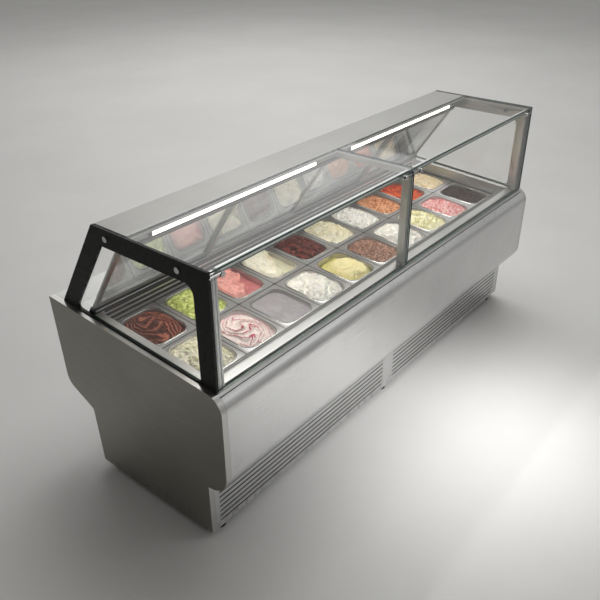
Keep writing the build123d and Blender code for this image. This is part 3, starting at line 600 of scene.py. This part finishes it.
def pan_shell():
    """A pressed pan: turned-down flange, polished bead painted lighter as a highlight, tapered walls and
    rounded floor.
    """
    builder = bmesh.new()
    width, length, radius = PAN_FLANGE
    flange = [(0.0, -0.0030), (0.0, -0.0002), (0.0012, PAN_WALL), (0.012, PAN_WALL)]
    rings = [
        lifted(rounded_ring(width - 2 * step, length - 2 * step, radius), height)
        for step, height in flange
    ]
    bead = ((1.6, 0.0), (1.25, 0.0010), (0.8, 0.0022), (0.35, 0.0020), (0.08, 0.0008))
    for share, rise in bead:
        rings.append(lifted(inner_ring(-PAN_BEAD * share, 0), PAN_WALL + rise))
    floor = PAN_DEPTH - PAN_WALL
    fillet = 0.012
    for depth in (0.003, 0.03, 0.08, floor - fillet):
        rings.append(lifted(inner_ring(PAN_WALL, depth), -depth))
    for k in range(1, 5):
        angle = math.pi / 8 * k
        inwards = PAN_WALL + fillet * (1 - math.cos(angle))
        rise = fillet * (1 - math.sin(angle))
        rings.append(lifted(inner_ring(inwards, floor - fillet), rise - floor))
    rings.append(lifted(inner_ring(0.06, floor), -floor))
    outer = [
        (0.06, PAN_DEPTH, PAN_DEPTH),
        (fillet, PAN_DEPTH, PAN_DEPTH),
        (0, PAN_DEPTH, PAN_DEPTH - fillet),
        (0, 0.004, 0.001),
    ]
    inside_count = len(rings)
    for inwards, taper_depth, depth in outer:
        rings.append(lifted(inner_ring(inwards, taper_depth), -depth))
    for height in (-0.0006, -0.0030):
        rings.append(lifted(rounded_ring(width - 0.003, length - 0.003, radius), height))
    made = [[builder.verts.new(point) for point in ring] for ring in rings]
    bead_rows = range(len(flange), len(flange) + len(bead) - 1)
    for row, (first, second) in enumerate(zip(made, made[1:] + made[:1])):
        if row == inside_count - 1:
            continue
        for i in range(RING_POINTS):
            j = (i + 1) % RING_POINTS
            face = builder.faces.new((first[i], first[j], second[j], second[i]))
            face.material_index = 1 if row in bead_rows else 0
    builder.faces.new(made[inside_count - 1])
    builder.faces.new(made[inside_count])
    return builder


# Each shape gives the height above the pan's flange, the ripple 0..1, and the flow (across and
# along the paddle's strokes), from u and v, which run from -1 to 1 over the opening.


def fuzz(u, v, scale, seed):
    """Fractal noise over the pan's opening, with so many features across it."""
    return noise.fractal(Vector((u * scale, v * scale * 1.22, seed * 7.3)), 0.9, 2.1, 4)


def ridge_of(phase, crest=0.72):
    """A paddle mark's section: a slow rise to a crest and a short fall."""
    share = phase % 1.0
    return (share / crest) ** 1.4 if share < crest else 1 - (share - crest) / (1 - crest)


def swirl(u, v, seed):
    """A paddled rosette: spiral ridges round a low peak."""
    reach = math.hypot(u, v)
    turn = math.atan2(v, u) + 3.4 * reach + 0.5 * fuzz(u, v, 1.4, seed)
    across, along = reach * math.cos(turn), reach * math.sin(turn)
    ridge = ridge_of(2.6 * across + 0.35 * fuzz(u, v, 2.6, seed + 3))
    height = -0.011 + 0.020 * (1 - reach ** 2) + 0.010 * ridge * (1 - 0.35 * reach)
    height += 0.012 * math.exp(-((reach / 0.15) ** 2)) + 0.003 * fuzz(u, v, 7, seed)
    return height, ridge, across, along


def folds(u, v, seed):
    """Broad overlapping paddle strokes, like a ruffled sheet."""
    lean = 0.5 + 0.9 * fuzz(u, v, 0.9, seed + 2) + 0.4 * (seed % 5)
    bend = 0.42 * fuzz(u, v, 1.5, seed)
    across = u * math.cos(lean) + v * math.sin(lean) + bend
    along = v * math.cos(lean) - u * math.sin(lean)
    ridge = ridge_of(2.1 * across + seed * 0.37)
    reach = math.hypot(u, v)
    height = -0.013 + 0.024 * (1 - 0.8 * reach ** 2.4) + 0.013 * ridge
    height += 0.005 * fuzz(u, v, 4.5, seed) + 0.0016 * fuzz(u, v, 12, seed)
    return height, ridge, across, along


def mound(u, v, seed):
    """A smooth heap to one side, with a trough left against the pan's far wall."""
    reach = math.hypot(u - 0.10, v + 0.14) + 0.12 * fuzz(u, v, 1.8, seed)
    top = 1 / (1 + math.exp(10 * (reach - 0.84)))
    height = -0.032 + 0.046 * top + 0.006 * fuzz(u, v, 2.4, seed) + 0.002 * fuzz(u, v, 9, seed)
    return height, 1 - top, u + 0.5 * v, v - 0.5 * u


def flat(u, v, seed):
    """A fresh, level surface with only slight waves."""
    height = -0.012 + 0.0030 * fuzz(u, v, 1.7, seed) + 0.0007 * fuzz(u, v, 7, seed)
    return height, 0.5 + 0.5 * fuzz(u, v, 1.1, seed + 4), 0.2 * u, 0.2 * v


def crumbs(u, v, seed):
    """A lumpy top of chunks and crumbs."""
    distances = noise.voronoi(Vector((u * 5.5, v * 6.6, seed)))[0]
    chunk = min(1.0, 1.3 * (distances[1] - distances[0]))
    reach = math.hypot(u, v)
    height = -0.012 + 0.018 * (1 - reach ** 2) + 0.013 * chunk + 0.005 * fuzz(u, v, 8, seed)
    return height, min(1.0, 0.2 + 1.5 * chunk), u + 0.3 * fuzz(u, v, 3, seed), v


def drift(u, v, seed):
    """A thick wave pushed to one side, with a curled crest."""
    crest = u * 0.75 - v * 0.45 + 0.40 * fuzz(u, v, 1.5, seed)
    step = 1 / (1 + math.exp(16 * (crest - 0.20)))
    curl = math.exp(-((crest - 0.06) / 0.12) ** 2)
    ridge = ridge_of(1.9 * crest + 0.4)
    height = -0.026 + 0.034 * step + 0.012 * curl + 0.007 * ridge * step
    height += 0.004 * fuzz(u, v, 5, seed)
    return height, 1 - step, crest, v * 0.8 + u * 0.4


def ice_body(shape, seed):
    """A closed body of ice cream with the shape's top, filling the pan from wall to wall."""
    builder = bmesh.new()
    ripple = builder.verts.layers.float.new("ripple")
    trough_shade = builder.verts.layers.float.new("trough_shade")
    flow = builder.verts.layers.float_vector.new("flow")
    width, length, _ = PAN_OPENING
    wall_ring = inner_ring(PAN_WALL + 0.0006, 0.02)
    rows = []
    for k in range(ICE_RINGS):
        share = 1 - (k / ICE_RINGS) ** 1.05
        row = []
        for x, y in wall_ring:
            u, v = 2 * x * share / width, 2 * y * share / length
            height, band, across, along = shape(u, v, seed)
            edge = max(0.0, (share - 0.86) / 0.14)
            height = height * (1 - edge ** 2) + min(height, -0.006) * edge ** 2
            vertex = builder.verts.new((x * share, y * share, height))
            vertex[ripple] = band
            vertex[flow] = (across, along, seed)
            # How far the surface dips below the flange; this sets the painted shade in the troughs.
            vertex[trough_shade] = min(1.0, max(0.0, (-height - 0.006) / 0.026))
            row.append(vertex)
        rows.append(row)
    for first, second in zip(rows, rows[1:]):
        for i in range(RING_POINTS):
            j = (i + 1) % RING_POINTS
            builder.faces.new((first[i], first[j], second[j], second[i]))
    height, band, across, along = shape(0, 0, seed)
    tip = builder.verts.new((0, 0, height))
    tip[ripple] = band
    tip[flow] = (across, along, seed)
    last = rows[-1]
    for i in range(RING_POINTS):
        builder.faces.new((last[i], last[(i + 1) % RING_POINTS], tip))
    skirt = [builder.verts.new((x * 0.985, y * 0.985, -ICE_SKIRT - 0.016)) for x, y in wall_ring]
    for i in range(RING_POINTS):
        j = (i + 1) % RING_POINTS
        builder.faces.new((skirt[i], skirt[j], rows[0][j], rows[0][i]))
    builder.faces.new(skirt)
    return builder


# Left to right as the customer sees them: name, shape, base and accent colours, the darker tone
# painted as shade in the troughs, the ripple's band where the accent starts and is full, and the colour
# of any inclusions.
SOFT, THIN, WIDE = (0.45, 0.75), (0.72, 0.86), (0.30, 0.55)
FRONT_ROW = [
    ("pistachio_cream", folds, "#F8F5E2", "#E9E7C8", "#CFCC9F", SOFT, "#C6CB8E"),
    ("raspberry_ripple", swirl, "#F8EBE9", "#C24A62", "#C77A88", THIN, None),
    ("lavender", flat, "#98959B", "#A4A1A7", "#807D84", SOFT, None),
    ("milk_white", folds, "#F6F6F1", "#EBECE4", "#CFD0C6", SOFT, None),
    ("lemon", mound, "#FBF1B8", "#EFE69F", "#D3CC74", WIDE, None),
    ("chocolate_crumb", crumbs, "#86604F", "#C9A08C", "#4A2E25", SOFT, "#3A211A"),
    ("plain_white", folds, "#F8F8F4", "#ECECE6", "#CFCFC6", SOFT, "#C9C5A0"),
    ("lime_cream", folds, "#F5F2D4", "#E4E0A6", "#C3C07C", SOFT, "#9DA850"),
    ("pink_berry", crumbs, "#F3CFCB", "#E88F93", "#C4616B", SOFT, "#B02C44"),
    ("dark_chocolate", crumbs, "#2B1E1B", "#4A3731", "#120B09", SOFT, "#0C0706"),
]
REAR_ROW = [
    ("chocolate_swirl", swirl, "#54281E", "#B4705A", "#2E130E", SOFT, "#7A211B"),
    ("bright_green", folds, "#D9E592", "#BACB6A", "#93A34C", SOFT, None),
    ("salmon_pink", drift, "#EFAFA8", "#DE918F", "#C27479", WIDE, None),
    ("ivory", drift, "#FAF8E6", "#F1EED6", "#D6D3B6", WIDE, None),
    ("dark_berry", folds, "#3A1D1C", "#7C4038", "#1C0C0B", SOFT, "#B6423E"),
    ("cream", folds, "#FBF7E2", "#F3ECCB", "#D9CFA2", SOFT, "#B5B27E"),
    ("stracciatella", folds, "#FBFBF9", "#EFEFEC", "#D8D8D3", SOFT, "#4B4644"),
    ("caramel", crumbs, "#E8B48C", "#C47D55", "#8F5530", SOFT, "#8A3A22"),
    ("orange", crumbs, "#E06A3C", "#B83C26", "#7E2716", SOFT, "#F3A65A"),
    ("vanilla", folds, "#F8ECCF", "#EED9B0", "#CDB482", SOFT, None),
]

for row_name, flavours in (("front", FRONT_ROW), ("rear", REAR_ROW)):
    for column, (flavour, shape, base, accent, trough_shade_tone, band, speckle) in enumerate(flavours):
        node = f"pan_{row_name}_{column + 1:02d}"
        place = pan_place(node)
        seed = column + (COLUMNS if row_name == "rear" else 0) + 1
        shell = finish_piece(
            f"{node}_shell", pan_shell(), [pan_sheet, bead_sheet_painted_highlight], node, place
        )
        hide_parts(node)
        finish_piece(
            f"{node}_ice",
            ice_body(shape, seed),
            [ice_finish(flavour, base, accent, trough_shade_tone, band, speckle)],
            node,
            place,
            crease=180,
        )

# ---------------------------------------------------------------- strip lights


def led_section(low_corner, high_corner):
    """The diffuser's section: a soft-cornered strip, flat against the shelf."""
    y0, y1, z0, z1 = low_corner.y, high_corner.y, low_corner.z, high_corner.z
    r = 0.004
    angles = [math.pi / 8 * k for k in range(5)]
    points = [(y1, z1), (y1, z0)]
    points += [(y0 + r - r * math.sin(angle), z0 + r - r * math.cos(angle)) for angle in angles]
    points += [(y0 + r - r * math.cos(angle), z1 - r + r * math.sin(angle)) for angle in angles]
    return points


led_low, led_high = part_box("led_lights")
led_gap = min(abs(v.co.x) for v in nodes["led_lights"].data.vertices)
for side, sign in (("left", -1), ("right", 1)):
    x0, x1 = sorted((sign * led_gap, sign * led_high.x))
    builder = bmesh.new()
    section = led_section(led_low, led_high)
    prism(builder, section, x0 + LED_CAP, x1 - LED_CAP)
    strip = finish_piece(f"led_strip_{side}", builder, [lamp], "cabinet")
    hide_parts("led_lights")
    builder = bmesh.new()
    for start in (x0, x1 - LED_CAP + LED_CAP_GAP):
        prism(builder, section, start, start + LED_CAP - LED_CAP_GAP)
    finish_piece(f"led_caps_{side}", builder, [moulded], "cabinet")

# ---------------------------------------------------------------- feet


def foot_builder(x, y, top):
    """A ribbed rubber pad, a steel washer and nut, and a threaded stem."""
    builder = bmesh.new()
    pad = [(0.022, 0.0), (0.0255, 0.0008), (0.026, 0.0025), (0.0255, 0.0045)]
    for k in range(3):
        z = 0.0045 + 0.0028 * k
        r = 0.0250 - 0.0014 * k
        rib = ((0.0010, 0.0004), (0.0010, 0.0014), (0.0002, 0.0018), (0.0004, 0.0026))
        pad += [(r - inwards, z + rise) for inwards, rise in rib]
    pad += [(0.0195, 0.0140), (0.0120, 0.0143)]
    lathe(builder, pad, (x, y, 0), material=0)
    washer = [(0.0125, 0.0144), (0.0130, 0.0148), (0.0130, 0.0158), (0.0122, 0.0162)]
    lathe(builder, washer, (x, y, 0), material=1)
    nut = [(0.0102, 0.0163), (0.0112, 0.0170), (0.0112, 0.0222), (0.0102, 0.0229)]
    lathe(builder, nut, (x, y, 0), segments=6, material=1)
    stem = [(0.0058, 0.0229)]
    height = 0.0232
    while height < top - THREAD_PITCH:
        stem += [(0.0060, height + 0.0003), (0.0053, height + THREAD_PITCH / 2)]
        height += THREAD_PITCH
    stem.append((0.0050, top))
    lathe(builder, stem, (x, y, 0), segments=24, material=1)
    return builder


for row_name in ("front", "rear"):
    for side in ("left", "middle", "right"):
        node = f"foot_{row_name}_{side}"
        x, y, _ = joints[node + "_screw"]["pos_m"]
        builder = foot_builder(x, y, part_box(node)[1].z)
        foot = finish_piece(
            f"{node}_pad", builder, [rubber, chassis_coat], node, crease=30
        )
        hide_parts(node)

# ---------------------------------------------------------------- small hardware


def screw_head(builder, centre, normal):
    """A domed screw head with a dimple in its middle."""
    turn = normal.to_track_quat("Z", "Y").to_matrix().to_4x4()
    place = Matrix.Translation(centre) @ turn
    r = SCREW_RADIUS
    dome = [(r, -0.0004), (r, 0.0006), (0.85 * r, 0.0016), (0.55 * r, 0.0021), (0.30 * r, 0.0022)]
    dimple = [(0.22 * r, 0.0010)]
    local = bmesh.new()
    lathe(local, dome + dimple, (0, 0, 0), 20)
    bmesh.ops.transform(local, matrix=place, verts=local.verts)
    mesh = bpy.data.meshes.new("screw")
    local.to_mesh(mesh)
    local.free()
    builder.from_mesh(mesh)
    bpy.data.meshes.remove(mesh)


def bar(builder, x0, x1, y0, y1, z0, z1):
    """A bar along X with eased corners."""
    e = min(0.0008, (y1 - y0) / 3, (z1 - z0) / 3)
    section = [
        (y0 + e, z0), (y1 - e, z0), (y1, z0 + e), (y1, z1 - e),
        (y1 - e, z1), (y0 + e, z1), (y0, z1 - e), (y0, z0 + e),
    ]
    prism(builder, section, x0, x1)


panel_low, panel_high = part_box("rear_panel")
lean = Vector((0, math.cos(REAR_PANEL_LEAN), -math.sin(REAR_PANEL_LEAN)))
builder = bmesh.new()
for i in range(PANEL_SCREWS):
    x = panel_low.x + 0.06 + i * (panel_high.x - panel_low.x - 0.12) / (PANEL_SCREWS - 1)
    for z in PANEL_SCREW_HEIGHTS:
        y = panel_high.y - (panel_high.z - z) * math.tan(REAR_PANEL_LEAN)
        screw_head(builder, Vector((x, y, z)), lean)
finish_piece("rear_panel_screws", builder, [chrome], "cabinet")

shelf_low, shelf_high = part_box("top_shelf")
pane_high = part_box("top_glass_panes")[1]
top = shelf_high.z
trim_start, trim_end = shelf_low.x + 0.004, shelf_high.x - 0.004
builder = bmesh.new()
for setback in (0.018, 0.027):
    y = shelf_low.y + setback
    bar(builder, trim_start, trim_end, y, y + 0.003, top - 0.0002, top + 0.0008)
finish_piece("shelf_trim_ribs", builder, [stainless], "cabinet")
builder = bmesh.new()
y0, y1 = pane_high.y + 0.0002, shelf_low.y + 0.0158
bar(builder, trim_start, trim_end, y0, y1, top - 0.006, top + 0.0004)
finish_piece("shelf_gasket", builder, [rubber], "cabinet")

base_low, base_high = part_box("base_front_panel")
# Dark ribbed bars just behind the base's vent slots: painted shade, so that the slots read dark inside.
builder = bmesh.new()
for x0, x1 in ((base_low.x + 0.055, -0.05), (0.05, base_high.x - 0.055)):
    for row in range(SHADE_BAR_ROWS):
        z = SHADE_BAR_FOOT + row * SHADE_BAR_PITCH
        bar(builder, x0, x1, base_low.y + 0.006, base_low.y + 0.009, z, z + 0.86 * SHADE_BAR_PITCH)
finish_piece("vent_shade_backing", builder, [moulded], "cabinet")

builder = bmesh.new()
for z in WALL_SEAL_HEIGHTS:
    y0, y1 = WELL_REAR - 0.0032, WELL_REAR + 0.0004
    bar(builder, -WELL_HALF, WELL_HALF, y0, y1, z, z + WALL_SEAL_WIDTH)
finish_piece("rear_wall_seals", builder, [rubber], "cabinet")


def door_axes(node):
    """The place of the middle of a door's inner lower edge, with Y up the slope, and half its length."""
    mesh = nodes[node].data
    widest = max(mesh.polygons, key=lambda face: face.area)
    inwards = widest.normal if widest.normal.y < 0 else -widest.normal
    across = Vector((1, 0, 0))
    upwards = inwards.cross(across)
    points = [v.co for v in mesh.vertices]
    low_corner, high_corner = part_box(node)
    foot = min(point.dot(upwards) for point in points)
    depth = max(point.dot(inwards) for point in points)
    origin = across * (low_corner.x + high_corner.x) / 2 + upwards * foot + inwards * depth
    turn = Matrix((across, upwards, inwards)).transposed().to_4x4()
    return Matrix.Translation(origin) @ turn, (high_corner.x - low_corner.x) / 2


for index in range(4):
    node = f"rear_door_{index + 1}"
    place, half = door_axes(node)
    rib_end, gasket_end = half - 0.004, half - 0.030
    builder = bmesh.new()
    for rise in (0.022, 0.029, 0.036, 0.043):
        bar(builder, -rib_end, rib_end, rise, rise + 0.0028, -0.0001, 0.0010)
    bar(builder, -gasket_end, gasket_end, 0.0455, 0.0475, -0.0032, 0.0006)
    finish_piece(f"{node}_ribs", builder, [stainless], node, place)

CONTROL_CENTRE = Vector((1.050, 0.5466, 0.760))
KEY_HEIGHT = 0.002
panel_points = [v.co for v in nodes["control_panel"].data.vertices]
panel_face = max(point.dot(lean) for point in panel_points) - KEY_HEIGHT
across = Vector((-1, 0, 0))
upwards = lean.cross(across)
panel_origin = (
    across * CONTROL_CENTRE.dot(across)
    + upwards * CONTROL_CENTRE.dot(upwards)
    + lean * panel_face
)
panel_turn = Matrix((across, upwards, lean)).transposed().to_4x4()
panel_place = Matrix.Translation(panel_origin) @ panel_turn
builder = bmesh.new()
bar(builder, -0.0145, 0.0945, -0.0225, 0.0225, -0.0018, -0.0004)
finish_piece("display_glass", builder, [window_glass], "cabinet", panel_place)
builder = bmesh.new()
for x in (-0.070, -0.050, -0.030):
    lathe(builder, [(0.0019, 0.0), (0.0018, 0.0008), (0.0012, 0.0013)], (x, 0.014, 0), 20)
finish_piece("pilot_lights", builder, [pilot], "cabinet", panel_place)

# ---------------------------------------------------------------- floor, lights and camera

FLOOR_REACH = 30.0
DIM_LEFT = (0.085, 0.083, 0.080, 1)
BRIGHT_RIGHT = (0.47, 0.47, 0.46, 1)


def make_floor():
    """A plain pale floor, far wider than the view."""
    r = FLOOR_REACH
    mesh = bpy.data.meshes.new("floor")
    mesh.from_pydata([(-r, -r, 0), (r, -r, 0), (r, r, 0), (-r, r, 0)], [], [(0, 1, 2, 3)])
    finish = Finish("pale_floor", 0.55)
    shade = finish.noise(0.8, detail=3)
    finish.colour(finish.mix(finish.remap(shade, 0.3, 0.7), tint("#DDDCDA"), tint("#E2E1DF")))
    finish.rough(finish.remap(finish.noise(14, detail=4), 0.3, 0.7, 0.45, 0.62))
    mesh.materials.append(finish.material)
    floor = bpy.data.objects.new("floor", mesh)
    bpy.context.scene.collection.objects.link(floor)


def softbox(name, place, target, size, power, colour="#FFFFFF", spread=180, mirrored=True):
    """A rectangular studio light aimed at a point; metal doesn't show it unless mirrored."""
    light = bpy.data.lights.new(name, "AREA")
    light.shape = "RECTANGLE"
    light.size, light.size_y = size
    light.energy = power
    light.color = tint(colour)[:3]
    light.spread = math.radians(spread)
    lamp_object = bpy.data.objects.new(name, light)
    lamp_object.location = place
    lamp_object.visible_glossy = mirrored
    aim = Vector(target) - Vector(place)
    lamp_object.rotation_euler = aim.to_track_quat("-Z", "Y").to_euler()
    bpy.context.scene.collection.objects.link(lamp_object)


def make_world():
    """Soft light all round, dimmer from the left."""
    world = bpy.data.worlds.new("studio")
    world.use_nodes = True
    tree = world.node_tree
    background = tree.nodes["Background"]
    background.inputs["Strength"].default_value = 1.0
    axes = tree.nodes.new("ShaderNodeSeparateXYZ")
    place = tree.nodes.new("ShaderNodeTexCoord")
    tree.links.new(place.outputs["Generated"], axes.inputs["Vector"])
    ramp = tree.nodes.new("ShaderNodeMapRange")
    ramp.interpolation_type = "SMOOTHSTEP"
    ramp.inputs["From Min"].default_value = -0.9
    ramp.inputs["From Max"].default_value = 0.9
    tree.links.new(axes.outputs["X"], ramp.inputs["Value"])
    blend = tree.nodes.new("ShaderNodeMix")
    blend.data_type = "RGBA"
    tree.links.new(ramp.outputs["Result"], blend.inputs["Factor"])
    blend.inputs[6].default_value = DIM_LEFT
    blend.inputs[7].default_value = BRIGHT_RIGHT
    tree.links.new(blend.outputs[2], background.inputs["Color"])
    bpy.context.scene.world = world


CAMERA_PLACE = Vector((-2.917, -2.164, 2.557))
CAMERA_AZIMUTH = math.radians(-50.87)
CAMERA_ELEVATION = math.radians(30.17)
CAMERA_ROLL = math.radians(-0.17)
CAMERA_LENS = 42.7


def make_camera():
    """The photograph's viewpoint."""
    cosine = math.cos(CAMERA_ELEVATION)
    back = Vector(
        (
            math.sin(CAMERA_AZIMUTH) * cosine,
            -math.cos(CAMERA_AZIMUTH) * cosine,
            math.sin(CAMERA_ELEVATION),
        )
    )
    right = (-back).cross(Vector((0, 0, 1))).normalized()
    up = right.cross(-back)
    turn = Matrix((right, up, back)).transposed().to_4x4()
    camera = bpy.data.cameras.new("camera")
    camera.lens = CAMERA_LENS
    camera.sensor_width = 36
    camera_object = bpy.data.objects.new("camera", camera)
    camera_object.matrix_world = (
        Matrix.Translation(CAMERA_PLACE) @ turn @ Matrix.Rotation(CAMERA_ROLL, 4, "Z")
    )
    bpy.context.scene.collection.objects.link(camera_object)
    bpy.context.scene.camera = camera_object


make_floor()
make_world()
softbox("window", (3.0, -4.8, 3.6), (-0.3, -0.6, 0.3), (2.4, 2.0), 10)
softbox("floor_pool", (1.0, -2.6, 3.2), (-0.05, -1.0, 0), (0.9, 0.5), 5.0, spread=34)
softbox("overhead", (1.0, 0.6, 4.2), (0.3, 0, 0.8), (3.0, 2.4), 60)
softbox("backdrop", (5.5, 5.0, 5.0), (5.5, 5.0, 0), (8, 8), 240)
for side, x in (("left", -0.70), ("right", 0.70)):
    start, target = (x, -0.036, 1.318), (x, -0.2, 0.8)
    softbox(f"strip_glow_{side}", start, target, (1.1, 0.02), 4.2, "#FFF8EE", mirrored=False)
make_camera()
bpy.context.scene.view_settings.view_transform = "Standard"
